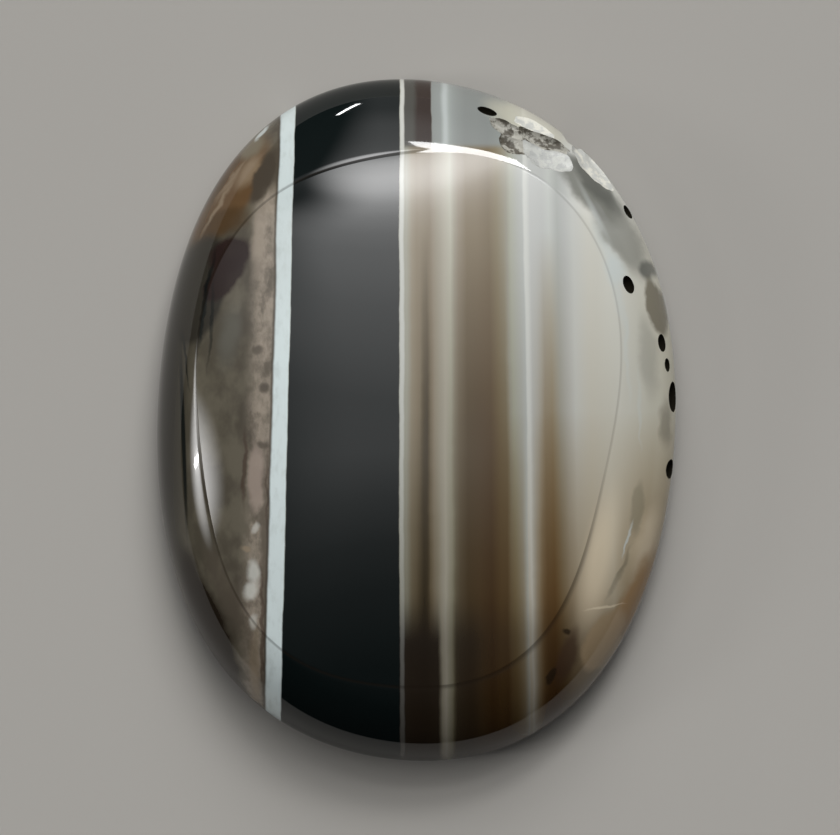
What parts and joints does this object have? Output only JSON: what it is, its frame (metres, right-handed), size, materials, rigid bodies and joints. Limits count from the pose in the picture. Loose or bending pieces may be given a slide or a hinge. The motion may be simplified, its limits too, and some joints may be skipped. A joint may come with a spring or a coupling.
{
  "type": "banded agate cabochon",
  "caption": "Oval polished cabochon of dark banded agate with a flat back, a rounded shoulder, a low dome, small rim pits and a chip on the rim.",
  "frame": {"origin": "on the flat back, under the middle of the oval's box", "axes": "+Z out of the back through the top of the dome, +Y along the oval's long axis and the bands, towards the chipped end, +X across the bands towards the clear rim"},
  "size_m": [0.0304, 0.04, 0.0082],
  "materials": {
    "polished_agate": "polished"
  },
  "bodies": {
    "root": {"agate_cabochon": "polished_agate"}
  },
  "joints": []
}
